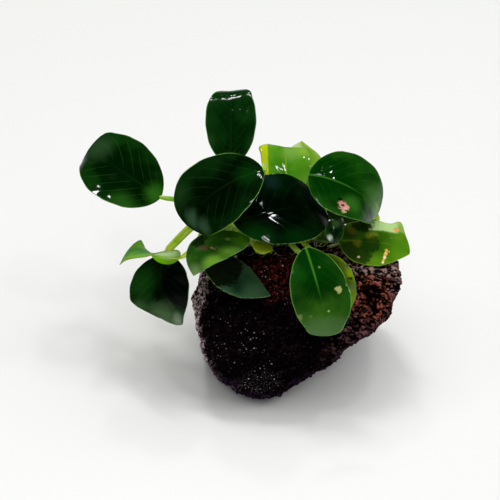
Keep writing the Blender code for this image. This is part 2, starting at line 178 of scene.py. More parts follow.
# Leaves, with the measures of their solids, apart from three lengths that are up to 2 mm less:
# - base: start of the blade, mm
# - foot: share of the way along the rhizome, and the side that the stalk leaves it on (0 is up,
#   90 to the back, -90 to the front)
# - arrive: heading and pitch in which the stalk meets the blade
# - heading, pitch and roll of the blade at its base
# - length and width in mm, and the share of the length where it is broadest
# - how much the midrib sinks, the tip curls down, the midrib turns, and the blade twists
# - cup: rise of the margins
# Some also have:
# - arch: how far the stalk bows
# - gap: how far short of the blade the stalk's solid ends, mm
# - thick: radius of a stalk that isn't the usual one, mm
# - point: power of the outline at the tip
# - full_left: power of the outline at the base on its left, where that side is fuller
# - corners that a margin runs out into: share of the length, side (1 is the left), mm out
LEAVES = [
    leaf("far_left", (-39.6, 9, 67.9), (0.12, 60), (178, 8), (164, 30, -18), (37.8, 29.5, 0.49),
         (6, 92, -13, -2), 0.03, corners=[(0.8, -1, 1.8)]),
    leaf("centre_left", (-1.5, 4, 82.8), (0.46, 75), (-95, 5), (192, -8, -12), (40, 33, 0.51),
         (45, 83, 19, -1), 0.04, arch=0.45, gap=1.7),
    leaf("top", (-13.9, 21, 74.7), (0.36, 70), (90, 80), (87, 65, -2), (35.2, 19.1, 0.48),
         (24, 102, 5, -2), 0.1, corners=[(0.8, -1, 0.8)]),
    leaf("centre", (-12.8, -4, 65.6), (0.22, -20), (0, 60), (17, 8, 27), (42, 31.6, 0.51),
         (22, 45, 17, -7), 0.05),
    leaf("twisted_left", (-32.4, -5, 50.4), (0.04, -50), (190, -20), (199, 19, 73), (24.7, 19.2, 0.54),
         (10, 110, -42, -85), -0.03, corners=[(0.8, 1, 2), (0.76, -1, 2.2)]),
    leaf("lower_left", (-39.1, 2, 46.8), (0.07, 0), (208, -38), (259, -32, 21), (27.4, 25.7, 0.5),
         (27, 77, 27, 14), 0.1, gap=1.3, thick=1.6, corners=[(0.9, 1, 2.2)]),
    leaf("front_hanging", (13.3, -16, 62.7), (0.6, -80), (-90, 70), (-64, -44, -1), (34.2, 21.6, 0.54),
         (-3, 69, -13, 8), 0.1, gap=1.2, corners=[(0.94, 1, 1.6), (0.93, -1, 1.3)]),
    leaf("behind_front", (20.2, -13.4, 58), (0.72, -80), (-80, 45), (-59, -51, 1), (25.4, 17.6, 0.5),
         (11, 24, 0, -2), 0.05),
    leaf("over_stone", (-22.7, -11, 54.7), (0.12, -80), (-60, 20), (-26, -26, 9), (27.7, 17.8, 0.47),
         (0, -23, 9, -13), 0.04, point=1.1),
    leaf("spotted_left", (-6.9, -4, 58.6), (0.27, -70), (-90, 50), (206, 6, 2), (28.6, 18.2, 0.52),
         (18, 83, 20, 0), 0.12, gap=1.2, point=1.1),
    leaf("bright_back", (7.5, 17, 61.6), (0.56, 60), (90, 60), (92, 54, 4), (27.3, 19.2, 0.55),
         (25, 104, 0, 6), 0.09, corners=[(0.72, 1, 1.8), (0.8, -1, 1)]),
    leaf("yellow_tip", (15.6, 27, 61.4), (0.68, 80), (90, 45), (93, 35, 14), (22.8, 14.6, 0.5),
         (23, 6, 3, 8), 0.15, point=1.5),
    leaf("upper_right", (15.2, 14, 74.8), (0.9, 88), (-118, 22), (-15, 2, 20), (34, 32, 0.46),
         (51, 51, -6, -17), 0.07, arch=0.58, gap=1.2),
    leaf("right", (26.6, 3, 52.8), (0.85, -85), (-5, 10), (-9, 2, 28), (27.8, 19.2, 0.47),
         (3, 42, 0, 0), -0.04, full_left=0.3, corners=[(0.77, 1, 3.4)]),
    leaf("sliver_right", (20.5, 24, 52.5), (0.79, 100), (40, 0), (-8, 4, 12), (24, 15, 0.5),
         (8, 20, -6, 0), 0.1, gap=1.2, thick=0.8),
    leaf("small_round", (24.4, -1, 64.6), (0.98, -80), (-80, 50), (-92, -30, 0), (9, 6.8, 0.5),
         (30, 30, 0, 0), 0.45, thick=0.8),
    leaf("old_yellow", (-5.6, -10, 59.4), (0.42, -80), (-95, 30), (-6, -6, 22), (8, 6.4, 0.45),
         (10, 20, 0, 0), 0.1, gap=1, thick=0.8, point=1.4),
]

# The rolled young leaf at the growing end: points along it and its radius there, mm.
SPEAR = [
    ((25, 6, 55.4), 1.2), ((26.4, 3.6, 57.4), 1.6), ((27, 1.2, 60.2), 1.6), ((27, -0.6, 63.4), 1.1),
    ((26.7, -1.6, 66), 0.4),
]
SPEAR_STEPS = 40
SPEAR_SIDES = 20
SPEAR_TURNS = 1.2  # times that its margin winds round it
SPEAR_ROLL = (0.86, 0.22)  # share of the radius inside the margin, and how much the margin adds

# Roots: name, share of the way along the rhizome, heading, length and radius in mm.
ROOTS = [
    ("front_left", 0.12, 290, 14, 0.55),
    ("left", 0.05, 150, 26, 0.5),
    ("back_left", 0.32, 100, 36, 0.55),
    ("back_right", 0.68, 75, 34, 0.55),
    ("right", 0.95, 25, 26, 0.5),
]
ROOT_START = 6  # mm from the rhizome's middle to where a root meets the stone
# How a root runs: mm between its points, degrees that it strays by, shares of its radius at its
# start and its end, and its sides.
ROOT_RUN = (1.3, 22, (1.1, 0.6), 10)
ROOT_BENDS = 0.35 / 2.6  # changes of its way in a mm
ROOT_DROP = (-25, -75)  # degrees that a root heads down by at its start and its end
ROOT_PROUD = 0.6  # share of its radius that its middle stands above the stone
FAR_OUT = 200  # mm, well outside the stone
ROOTLETS = 90  # hair-fine roots
ROOTLET_SEED = 5
ROOTLET_RUN = (0.8, 60, (1, 0.1), 5)
ROOTLET_HEADINGS, ROOTLET_SPREAD = (90, 90, 270), 28  # degrees; two of three go to the back
ROOTLET_START = (2.5, 6)  # mm from the rhizome's middle
ROOTLET_LENGTH = (4, 15)  # mm
ROOTLET_SHORT = 0.6  # share of that which the rootlets at the front have
ROOTLET_RADIUS = 0.16  # mm

# --- colours, 0 to 255 as the eye sees them ---

# Tones of the one stalk material: 'bright' is painted lighter, as stalks in more light, and 'dark' is
# painted as stalks in shade.
STALK_TONES = {
    "usual": ((144, 196, 30), (200, 234, 66)), "bright": ((200, 240, 36), (238, 255, 96)),
    "dark": ((48, 78, 20), (84, 116, 34)),
}
MARK_EDGE = 1.1  # mm, the widest edge that a mark has
MARK_STRAY = 4.5  # mm, the most that its edge strays
STRIP_EDGE = 0.4  # mm, half the width of a strip's edge
STRIP_FADE = 2  # mm over which a strip's ends fade

LOOKS = {}


def look(name, deep, light, slot="dark", stalk="usual", vein=(60, 104, 44), veins=0.2,
         rib=(60, 110, 30), ribs=0.12, rib_end=0.9, rim=0.5, rim_tone=(96, 150, 62),
         under=(150, 180, 96), glow=0.04, through=(112, 160, 44), wax=0.7, blur=0.05, dull=(),
         washes=(), under_washes=(), strips=(), marks=()):
    """Note the finish of a leaf.

    deep, light, vein, rib, rim_tone, under: colours in the middle, towards the margin, of the
    veins, of the midrib, of the rim and below.  veins, ribs, rim: how strongly those show.
    rib_end: where along it the midrib fades out.  glow, through: how much light it lets
    through, and in what colour.  wax, blur: how strongly and how softly its wax shines.

    In places, which are mm along the blade and mm across it to its left, it has:
    dull: no shine; mm wide.
    washes, under_washes: soft changes of tone on either face, some of them painted sheen or
    painted shade; mm reached, colour, share.
    marks with an edge, a few of them painted shadow or painted highlight: mm to that edge, colour, share.
    strips: strips along a margin painted with the light that a fold at another slant would
    catch: side (1 is the left), mm across where it starts, mm along where it starts and ends, colour, share.
    """
    LOOKS[name] = SimpleNamespace(**locals())


def streak(start, end, count, size, colours):
    """Marks in a row on a blade, between two places in mm along and across it."""
    marks = []
    for i in range(count):
        share = i / (count - 1)
        place = [a + (b - a) * share for a, b in zip(start, end)]
        marks.append((*place, size * (1 - 0.3 * share), colours[i % len(colours)], 0.95))
    return marks


# the pale wash at 31 mm along, 4 mm to the right, is a painted sheen
look("far_left", (0, 20, 0), (11, 48, 9), vein=(66, 108, 50), veins=0.22, ribs=0.05,
     dull=[(4, 8, 7), (27, -8, 13), (20, -14, 6), (27, 10, 6.5), (15, 8.5, 4.5), (25.5, 6, 8.5),
           (23.3, 0.2, 3), (18.6, 8.6, 3.6)],
     washes=[(20, 0, 10, (0, 20, 2), 0.6), (31, -4, 9, (52, 84, 50), 0.45),
             (10, 12, 8, (34, 86, 20), 0.7), (2, 0, 7, (40, 94, 18), 0.8)])
# the pale washes at 33 mm along are a painted sheen on the lower fold, where the wax is dulled
look("centre_left", (1, 12, 1), (7, 36, 7), veins=0.14, ribs=0.06, rim=0.9, wax=0.4,
     dull=[(33, -7, 14), (33, 7, 13), (4.5, -7, 7), (5.6, -2, 4.2)],
     washes=[(18, 3, 12, (0, 8, 1), 0.8), (30, -11, 8, (30, 64, 26), 0.6),
             (33.5, -1, 6, (62, 96, 66), 0.85), (33, 6, 6, (54, 88, 58), 0.85),
             (6, 0, 7, (8, 54, 12), 0.6)])
look("top", (1, 32, 2), (10, 52, 9), veins=0.12, ribs=0.05, wax=1, blur=0.12,
     washes=[(9, 9, 5, (34, 76, 24), 0.6), (9, -9, 4.5, (28, 66, 20), 0.6)])
# the bluish washes at 38 mm along and at 20 mm along, 13 mm to the left, are painted sheen
look("centre", (0, 5, 1), (2, 24, 5), veins=0.06, ribs=0.03, rim=0.35, wax=0.3,
     dull=[(40, 3, 12), (9.5, 2.5, 4.5), (19, -14, 6)],
     washes=[(38, 3, 8, (18, 44, 38), 0.8), (20, 13, 6, (16, 40, 34), 0.7),
             (6, -9, 9, (4, 52, 8), 0.8), (20, -13, 7, (2, 38, 6), 0.6)])
# the near-white underside wash at 7 mm along is its pale underside, painted paler still as if well lit
look("twisted_left", (46, 112, 8), (96, 152, 30), "bright", "bright", under=(116, 176, 30), glow=0.06,
     wax=0.2, through=(226, 250, 120), rim=0.8, rim_tone=(150, 134, 20),
     washes=[(20, -5, 5, (84, 128, 22), 0.7), (12, 0, 7, (30, 96, 6), 0.7)],
     under_washes=[(20, 0, 13, (44, 112, 10), 0.95), (21, -1, 3, (120, 180, 60), 0.5),
                   (7, 3, 8, (220, 255, 186), 1), (7, -6, 6.5, (128, 212, 10), 1)])
# the pale washes from 20 to 24 mm along are a painted sheen on the fold
look("lower_left", (1, 12, 1), (12, 44, 10), stalk="bright", veins=0.4, ribs=0.05, rim=0.2, wax=0.15,
     washes=[(10, -8, 9, (24, 74, 18), 0.8), (20, -6, 7, (30, 68, 28), 0.6),
             (24, 1, 8, (76, 108, 66), 0.9), (20, -9, 5, (58, 96, 52), 0.7),
             (23.5, 7, 3.5, (132, 156, 124), 0.8)],
     marks=[(11, 10.5, 9.5, (0, 3, 1), 0.97)])
# the pale wash over the tip, at 31 mm along, is a painted sheen of the floor
look("front_hanging", (2, 40, 2), (24, 66, 13), "mid", veins=0.16, rib=(84, 150, 34), ribs=0.5,
     rib_end=0.72, rim=0.85, dull=[(11, 4, 10), (2.5, 3, 6)],
     washes=[(8, 1, 9, (2, 56, 5), 0.7), (31, -1, 16, (58, 106, 26), 0.95),
             (21, 9, 5, (32, 80, 12), 0.6), (9, -6, 5, (22, 82, 16), 0.5)],
     marks=[(17.5, 6.8, 1.5, (164, 166, 104), 0.9), (8.1, 2.5, 0.55, (140, 150, 60), 0.6),
            (23.9, 1.8, 0.5, (160, 190, 120), 0.8), (24.7, -5, 0.6, (112, 116, 60), 0.6),
            (24.3, -9.1, 1.4, (122, 136, 76), 0.6)])
# the dark wash at 9 mm along is painted shade
look("behind_front", (50, 70, 10), (104, 132, 16), "mid", glow=0.12,
     washes=[(9, 1, 8, (26, 40, 8), 0.9), (10, 8.5, 4, (120, 146, 16), 0.9)],
     marks=[(6.7, 7.4, 0.7, (10, 16, 4), 0.9), (11.7, 7.4, 0.7, (10, 16, 4), 0.9),
            (11.4, 6.3, 0.6, (14, 20, 4), 0.9)])
# the near-black mark round the base is the painted shadow of a leaf above
look("over_stone", (10, 32, 20), (40, 70, 46), veins=0.1, ribs=0.08, rim=0.12,
     washes=[(22, 0, 8, (46, 76, 52), 0.8)], marks=[(2, 1, 13, (1, 5, 3), 0.97)])
look("spotted_left", (24, 66, 12), (60, 104, 30), "mid", veins=0.25, ribs=0.2, rim=0.8, glow=0.08,
     dull=[(2, 0, 7), (9, -4, 6)],
     washes=[(8, -5, 6, (44, 88, 22), 0.6), (20, 6, 6.5, (112, 160, 48), 0.8),
             (27, 1, 5, (120, 158, 80), 0.7), (12, 5.5, 6, (104, 160, 34), 0.8),
             (21, -6, 5, (14, 52, 10), 0.8), (2.5, 1, 6.5, (92, 156, 30), 0.85)],
     marks=[(17.3, -2.8, 1.9, (84, 62, 50), 0.85), (15.1, -1.1, 0.9, (156, 112, 64), 0.9),
            (14.8, 0.5, 0.7, (140, 110, 60), 0.8), (16.7, -7.3, 3.6, (8, 22, 6), 0.9),
            (7.5, -2, 1.2, (120, 150, 80), 0.6)])
# the yellow strip along the left margin is painted light shining through it
look("bright_back", (70, 142, 14), (110, 170, 46), "bright", rib=(170, 206, 50), ribs=0.7, glow=0.3,
     dull=[(21, -1, 8)],
     washes=[(9, 1, 6, (60, 134, 12), 0.7), (19, -2, 6, (146, 188, 88), 0.6),
             (26, 0, 3.5, (190, 214, 152), 0.7), (20, -7, 4, (150, 190, 60), 0.7)],
     strips=[(1, 7, 6, 23, (208, 224, 24), 0.95)])
look("yellow_tip", (104, 150, 34), (156, 188, 76), "yellow", glow=0.2,
     washes=[(18, 3, 5, (200, 218, 154), 0.8)])
# the pale wash at 31 mm along is a painted sheen on the drooping fold, and the pale pink dot at 18.6 mm
# along is a painted highlight beside the crater
look("upper_right", (1, 42, 1), (22, 70, 11), "mid", rib=(66, 126, 36), ribs=0.5, rib_end=0.85, rim=0.6,
     dull=[(12, 8, 8), (8, 15, 9), (2.5, -7.6, 6), (1, 3.5, 5), (5, 9.5, 5.5)],
     washes=[(10, 4, 10, (2, 44, 2), 0.7), (14, -10, 6, (2, 42, 2), 0.6),
             (27, 4, 9, (60, 106, 40), 0.7), (20, -7, 6, (50, 106, 28), 0.6),
             (31, 2, 5, (104, 148, 76), 0.7)],
     marks=[(17.2, -10.6, 2.6, (196, 138, 128), 0.95), (15.7, -9, 1, (176, 120, 100), 0.9),
            (18.3, -13.2, 1.2, (196, 156, 116), 0.9), (16.8, -10.5, 1, (46, 14, 12), 0.95),
            (18.6, -11.4, 0.8, (224, 168, 160), 0.9), (15, -8, 1.1, (4, 6, 3), 0.9)])
# the pale strips along the left margin are a painted sheen, and the dark green marks and the dark wash near
# the base are the painted shadow of the leaf above
look("right", (44, 84, 8), (92, 140, 20), "mid", "dark", rib=(120, 160, 40), ribs=0.35, rim=0.9,
     rim_tone=(150, 178, 60), glow=0.1, dull=[(20, 8, 3.5), (14, 1.5, 9)],
     washes=[(24, -1, 9, (80, 136, 16), 0.7), (12.5, 2.4, 3, (150, 152, 50), 0.6),
             (4, 3, 5, (30, 50, 8), 0.7)],
     strips=[(1, 5.2, 10, 22, (178, 208, 138), 0.9), (1, 6.2, 20, 26, (140, 180, 90), 0.6)],
     marks=[(4.3, -3.8, 4.2, (26, 44, 8), 0.9), (8.2, 8, 4.6, (12, 30, 6), 0.9),
            (12.2, -0.8, 4.2, (22, 48, 6), 0.85), (9, -6, 4.5, (26, 50, 8), 0.8),
            (4.9, 4, 2, (112, 96, 26), 0.75), (11, 2.7, 1.6, (104, 104, 24), 0.7),
            (7, -0.7, 2, (96, 90, 24), 0.7), (20.5, 6.8, 1.2, (214, 150, 88), 0.95),
            *streak((18.4, -3), (17.6, -7.9), 6, 0.95, [(222, 176, 66), (244, 222, 180)]),
            *streak((17.9, -4.6), (19.4, -3.2), 3, 0.7, [(224, 170, 60)]),
            (8.2, -6.4, 0.55, (216, 186, 150), 0.9)])
look("sliver_right", (8, 24, 5), (22, 48, 14), "yellow", rim=0.9, glow=0.05,
     washes=[(25, 0, 5.5, (150, 176, 40), 1)])
# the near-white wash at 6.8 mm along is a painted highlight
look("small_round", (2, 24, 4), (14, 52, 14), stalk="dark", veins=0.3, rim=0.12, glow=0.05, wax=1,
     washes=[(1.5, 0.5, 2.6, (84, 126, 66), 0.6), (6.8, -1.6, 1.6, (200, 212, 196), 0.9)])
look("old_yellow", (104, 124, 12), (150, 162, 22), "yellow", veins=0.2, rib=(170, 176, 40), glow=0.12)

# --- shader nodes ---

class Wire:
    """One output of a material's nodes.  Sums with it add Math nodes."""

    def __init__(self, nodes, socket):
        self.nodes = nodes
        self.socket = socket

    __add__ = __radd__ = lambda self, other: self.nodes.sum("ADD", self, other)
    __sub__ = lambda self, other: self.nodes.sum("SUBTRACT", self, other)
    __rsub__ = lambda self, other: self.nodes.sum("SUBTRACT", other, self)
    __mul__ = __rmul__ = lambda self, other: self.nodes.sum("MULTIPLY", self, other)
    __pow__ = lambda self, other: self.nodes.sum("POWER", self, other)
    __abs__ = lambda self: self.nodes.sum("ABSOLUTE", self)


class Nodes:
    """The nodes of a material, or of the room."""

    def __init__(self, tree):
        self.tree = tree

    def feed(self, socket, value):
        """Link a wire to the socket, or set its value."""
        if isinstance(value, Wire):
            self.tree.links.new(value.socket, socket)
        elif socket.type == "RGBA":
            socket.default_value = (*value, 1)
        else:
            socket.default_value = value

    def node(self, kind, settings, inputs, output=0):
        """One output of a new node, whose settings are set first and then its sockets."""
        made = self.tree.nodes.new("ShaderNode" + kind)
        for key, value in settings.items():
            setattr(made, key, value)
        for key, value in inputs.items():
            self.feed(made.inputs[key], value)
        return Wire(self, made.outputs[output])

    def sum(self, operation, *values):
        return self.node("Math", {"operation": operation}, dict(enumerate(values)))

    def split(self, vector):
        made = self.tree.nodes.new("ShaderNodeSeparateXYZ")
        self.feed(made.inputs[0], vector)
        return [Wire(self, output) for output in made.outputs]

    def soft(self, value, low, high):
        """0 below low, 1 above high, and smooth between; the other way round if high is the lower."""
        return self.node("MapRange", {"interpolation_type": "SMOOTHSTEP"},
                         {"Value": value, "From Min": low, "From Max": high})

    def mix(self, share, first, second):
        return self.node("Mix", {"data_type": "RGBA"}, {0: share, 6: first, 7: second}, 2)


class Finish(Nodes):
    """A material made of nodes, with one Principled BSDF, whose colour is built up in layers."""

    def __init__(self, name, colour=None):
        self.material = bpy.data.materials.new(name)
        self.material.use_nodes = True
        super().__init__(self.material.node_tree)
        self.shader = self.tree.nodes["Principled BSDF"]
        self.place = self.node("TexCoord", {}, {}, "Object")
        self.colour = colour

    def read(self, attribute, output="Vector"):
        """A value that the mesh holds at each point."""
        return self.node("Attribute", {"attribute_name": attribute}, {}, output)

    def clouds(self, across, detail=3, place=None):
        """Cloudy value about 0.5, in patches of that many mm across."""
        return self.node("TexNoise", {},
                         {"Vector": place or self.place, "Scale": 1 / (across * MM), "Detail": detail})

    def cells(self, across):
        """Distance from the middle of cells that are that many mm across, as a share of them."""
        return self.node("TexVoronoi", {}, {"Vector": self.place, "Scale": 1 / (across * MM)})

    def distance(self, place, point):
        return self.node("VectorMath", {"operation": "DISTANCE"}, {0: place, 1: point}, 1)

    def near(self, spot, far, full, stray):
        """0 beyond far mm from the spot and 1 within full mm, with an edge that strays."""
        away = self.distance(self.place, [value * MM for value in spot]) + stray
        return self.soft(away, far * MM, full * MM)

    def blend(self, share, first, second):
        """Mix of two colours, each a wire or a tone in 0 to 255."""
        first, second = (c if isinstance(c, Wire) else tone(c) for c in (first, second))
        return self.mix(share, first, second)

    def lay(self, share, colour):
        """Lay another colour over the colour so far."""
        self.colour = self.blend(share, self.colour, colour)

    def bump(self, height, depth):
        """Relief of that many mm where height goes from 0 to 1."""
        normal = self.node("Bump", {}, {"Height": height, "Distance": depth * MM, "Strength": 1})
        self.feed(self.shader.inputs["Normal"], normal)

    def dress(self, roughness, coat=0, blur=0.03, gloss=0.5):
        """Wear the colour, with a clear coat of that strength and roughness over its own gloss."""
        values = {"Base Color": self.colour, "Roughness": roughness, "Coat Weight": coat,
                  "Coat Roughness": blur, "Specular IOR Level": gloss}
        for key, value in values.items():
            self.feed(self.shader.inputs[key], value)

    def let_light_through(self, share, colour):
        """Mix in a share of light that passes from behind."""
        behind = self.node("BsdfTranslucent", {}, {"Color": tone(colour)})
        both = self.node("MixShader", {}, {0: share, 2: behind})
        self.tree.links.new(self.shader.outputs[0], both.socket.node.inputs[1])
        self.tree.links.new(both.socket, self.tree.nodes["Material Output"].inputs["Surface"])


def tone(colour):
    """Light that a colour in 0 to 255 stands for."""
    shares = [value / 255 for value in colour]
    return tuple(c / 12.92 if c <= 0.04045 else ((c + 0.055) / 1.055) ** 2.4 for c in shares)


def cloudy_skin(name, across, first, second):
    """A finish that starts with two tones in cloudy patches of that many mm, and those clouds."""
    skin = Finish(name)
    clouds = skin.clouds(across)
    skin.colour = skin.blend(skin.soft(clouds, 0.3, 0.7), first, second)
    return skin, clouds


# --- meshes ---

def direction(heading, pitch):
    """Unit vector for a heading from +X and a pitch above level, degrees."""
    h, p = math.radians(heading), math.radians(pitch)
    return np.array([math.cos(p) * math.cos(h), math.cos(p) * math.sin(h), math.sin(p)])


def unit(rows):
    return rows / np.linalg.norm(rows, axis=-1, keepdims=True)


def walked_along(points):
    """Distance from the first of some points to each of them, along the way."""
    return np.concatenate([[0], np.cumsum(np.linalg.norm(np.diff(points, axis=0), axis=1))])


def placed(made):
    bpy.context.scene.collection.objects.link(made)
    return made


def piece(name, points, faces, skin, slot, nodes, values):
    """A smooth mesh piece from points in mm, which stands for those solids."""
    mesh = bpy.data.meshes.new(name)
    mesh.from_pydata((np.asarray(points) * MM).tolist(), [], faces)
    for key, rows in values.items():
        held = mesh.attributes.new(key, "FLOAT_VECTOR", "POINT")
        held.data.foreach_set("vector", np.asarray(rows, np.float32).ravel())
    weld(mesh)
    mesh.shade_smooth()
    mesh.materials.append(skin.material)
    made = placed(bpy.data.objects.new(name, mesh))
    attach(made, "root")
    if nodes:
        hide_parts(*nodes)
    return made


def weld(mesh):
    """Join points that share a place, and turn the faces outwards."""
    shape = bmesh.new()
    shape.from_mesh(mesh)
    bmesh.ops.remove_doubles(shape, verts=shape.verts, dist=1e-7)
    bmesh.ops.recalc_face_normals(shape, faces=shape.faces)
    shape.to_mesh(mesh)
    shape.free()


def smooth_through(knots, count):
    """Points and radii at even steps of a smooth curve through knots of (point, radius)."""
    rows = np.array([[*point, radius] for point, radius in knots], float)
    rows = np.vstack([2 * rows[0] - rows[1], rows, 2 * rows[-1] - rows[-2]])
    spans = len(rows) - 3
    made = []
    for u in np.linspace(0, spans, count):
        i = min(int(u), spans - 1)
        t = u - i
        a, b, c, d = rows[i:i + 4]
        made.append(0.5 * (2 * b + (c - a) * t + (2 * a - 5 * b + 4 * c - d) * t ** 2
                           + (3 * b - a - 3 * c + d) * t ** 3))
    made = np.array(made)
    return made[:, :3], made[:, 3]


def eased(points, rounds):
    """A run with its corners taken off; its ends stay."""
    points = points.copy()
    for _ in range(rounds):
        points[1:-1] = points[1:-1] / 2 + (points[2:] + points[:-2]) / 4
    return points


def carried(points, up):
    """Two unit directions across a run at each of its points, turned as little as it allows."""
    ahead = unit(np.gradient(points, axis=0))
    ups = []
    for way in ahead:
        up = unit(up - way * (up @ way))
        ups.append(up)
    ups = np.array(ups)
    return np.cross(ahead, ups), ups


def tube(points, radii, sides, up=(0, 0, 1), profile=None):
    """Points, faces and values of a closed tube.  profile gives the share of the radius for
    each step along the run and each angle round it, where an angle of 0 is the up side."""
    across, ups = carried(points, np.array(up, float))
    angles = np.arange(sides) * math.tau / sides
    reach = radii[:, None] * (profile(angles) if profile else np.ones((1, sides)))
    rings = (points[:, None] + across[:, None] * (reach * np.sin(angles))[..., None]
             + ups[:, None] * (reach * np.cos(angles))[..., None])
    count = len(points)
    faces = []
    for i in range(count - 1):
        for j in range(sides):
            k = (j + 1) % sides
            faces.append((i * sides + j, i * sides + k, (i + 1) * sides + k, (i + 1) * sides + j))
    faces.append(tuple(range(sides - 1, -1, -1)))
    faces.append(tuple(range((count - 1) * sides, count * sides)))
    walked = walked_along(points)
    values = np.zeros((count, sides, 3))
    values[..., 0] = (walked / walked[-1])[:, None]
    values[..., 1] = angles / math.tau
    values[..., 2] = walked[:, None]
    return rings.reshape(-1, 3), faces, values.reshape(-1, 3)


def tube_piece(name, tubes, skin, slot, nodes):
    """One piece of several tubes, whose values say how far along and round it a point is."""
    points, faces, values = [], [], []
    for some_points, some_faces, some_values in tubes:
        faces += [tuple(i + len(points) for i in face) for face in some_faces]
        points += some_points.tolist()
        values += some_values.tolist()
    return piece(name, points, faces, skin, slot, nodes, {"run": values})


# --- stone ---

def stone_finish():
    """Dark and wet: grey on the right, pale on the left with painted light on the faces that turn left, red
    at the top, rusty round a hollow that is painted dark as its shade, with painted shade in creases and
    pits and painted glints in wet stretches.
    """
    skin = Finish("wet_lava")
    x, y, z = skin.split(skin.place)
    pit, crest, grain = skin.split(skin.read("relief"))
    right, _, up = skin.split(skin.read("facing"))
    fine = skin.clouds(0.7)
    stray = (skin.clouds(3) - 0.5) * 0.02
    rust = skin.near(CAVITY, 11.5, 6, stray * 0.7)
    cavity = skin.near(CAVITY, 5, 2.5, stray * 0.7)
    crown = skin.near(CROWN, 15.5, 7, stray)
    # painted light: faces that turn to the left, above the foot, are painted pale as if lit from the side
    left = skin.soft(right + stray * 10, -0.3, -0.8) * skin.soft(x, -4 * MM, -14 * MM)
    left = left * (skin.soft(z + stray * 0.5, 6 * MM, 30 * MM) * 0.8 + 0.2)
    flank = skin.soft(x + stray, 18 * MM, 34 * MM)
    shoulder = skin.soft(z + y * 0.5 + stray * 0.5, 34 * MM, 42 * MM) * flank
    skin.colour = skin.blend(skin.soft(skin.clouds(9), 0.38, 0.66), (6, 3, 4), (24, 15, 17))
    skin.lay(flank * 0.9, (98, 66, 68))
    skin.lay(crown * 0.85, (90, 30, 22))
    skin.lay(left * 0.95, (210, 182, 190))
    skin.lay(shoulder * 0.8, (148, 122, 112))
    skin.lay(skin.soft(up, -0.1, -0.6) * 0.85, (50, 34, 58))
    skin.lay(rust * 0.95, skin.blend(fine, (70, 28, 20), (172, 96, 76)))
    # painted shade: the creases between lumps and grains are painted near black, and only the crests keep
    # the colours laid above
    tips = skin.soft(crest + (fine - 0.5) * 0.3, 0.32, 0.62)
    lit = skin.soft(grain + (fine - 0.5) * 0.5, 0.1, 0.45) * 0.75 + 0.25
    skin.colour = skin.blend(tips * lit, (5, 2, 3), skin.colour)
    # painted shade: the pits and the hollow are painted near black
    skin.lay(skin.soft(pit, 0.15, 0.6) * 0.9 + cavity * 0.95, (2, 0, 1))
    # painted highlight: white glint dots are painted in the wet stretches, which also get the wet shine
    # below
    wet = 0.05
    for spot, reach, share in WET:
        wet = wet + skin.near(spot, reach, reach * 0.4, stray * 0.5) * share
    sparkles = sum(skin.soft(skin.cells(apart), end, full) for apart, end, full in SPARKLES)
    skin.lay(sparkles * wet * 0.9, (220, 210, 206))
    skin.dress(0.75, skin.soft(fine, 0.5, 0.6) * wet * 0.3, 0.15, 0)
    skin.bump(skin.clouds(0.35, 4), 0.14)
    return skin


def stone_relief(spot):
    """Height in mm of the stone's crust above its smoothed solid, and what made it."""
    start, full = DRAWN_FROM
    stretch = DRAWN_OUT * min(1, max(0, (spot.x - start) / (full - start)))
    drawn = spot - DRAWN_WAY * spot.dot(DRAWN_WAY) * stretch
    apart, reach = STRAY
    drawn = drawn + Vector([noise.noise(drawn / apart + shift) for shift in STRAY_SHIFTS]) * reach
    across, high = GRAINS
    away = noise.voronoi(drawn / across)[0][0]
    grain = max(0, 1 - (away / GRAIN_ROOM) ** 2)
    height = high * (grain - CRUST_LEVEL)
    crest = 0
    for across, high in LUMPS:
        swell = min(1, abs(noise.noise(drawn / across)) * CREASE)
        height += high * (swell - CRUST_LEVEL)
        crest += swell / len(LUMPS)
    near, middles = noise.voronoi(drawn / PITS[0])[:2]
    room = PIT_ROOM[0] + PIT_ROOM[1] * noise.cell(middles[0] * 7.31)  # any number, the same for a pit
    pit = max(0, 1 - (near[0] / room) ** 2)
    rough = ROUGHNESS[0] + ROUGHNESS[1] * noise.noise(spot / ROUGHNESS[2])
    return height * rough - PITS[1] * pit, (pit, crest, grain)


def rows_of(data, key):
    """A vector that Blender holds for each point, as rows."""
    rows = np.zeros(len(data) * 3)
    data.foreach_get(key, rows)
    return rows.reshape(-1, 3)


def build_stone():
    """The stone: the solid in even faces, worn smooth, with crust, pores and grit raised on it."""
    stone = placed(bpy.data.objects.new("stone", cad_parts["lava_rock"].data.copy()))
    weld(stone.data)
    even = stone.modifiers.new("even faces", "REMESH")
    even.mode = "VOXEL"
    even.voxel_size = VOXEL * MM
    worn = stone.modifiers.new("worn", "SMOOTH")
    worn.iterations = SMOOTHING
    ready = stone.evaluated_get(bpy.context.evaluated_depsgraph_get())
    mesh = bpy.data.meshes.new_from_object(ready)
    bpy.data.objects.remove(stone, do_unlink=True)
    places = rows_of(mesh.vertices, "co") / MM
    normals = rows_of(mesh.vertices, "normal")
    heights, causes = zip(*(stone_relief(Vector(spot)) for spot in places))
    clear = np.clip(places[:, 2] / CRUST_FADE, 0, 1)  # nothing is raised on the resting face
    places += normals * (np.array(heights) * clear)[:, None]
    places[:, 2] = np.maximum(places[:, 2], 0)
    faces = [tuple(face.vertices) for face in mesh.polygons]
    bpy.data.meshes.remove(mesh)
    return piece("stone", places, faces, stone_finish(), "lava", ["lava_rock"],
                 {"relief": causes, "facing": normals})


# --- leaves ---

def wash(skin, sheet, blots, washes):
    """Lay soft changes of tone over a blade's colour, painted sheen and painted shade among them."""
    for x, y, reach, colour, share in washes:
        away = skin.distance(sheet, (x, y, 0)) + (blots - 0.5) * (reach * 0.5)
        skin.lay(skin.soft(away, reach, reach * 0.1) * share, colour)


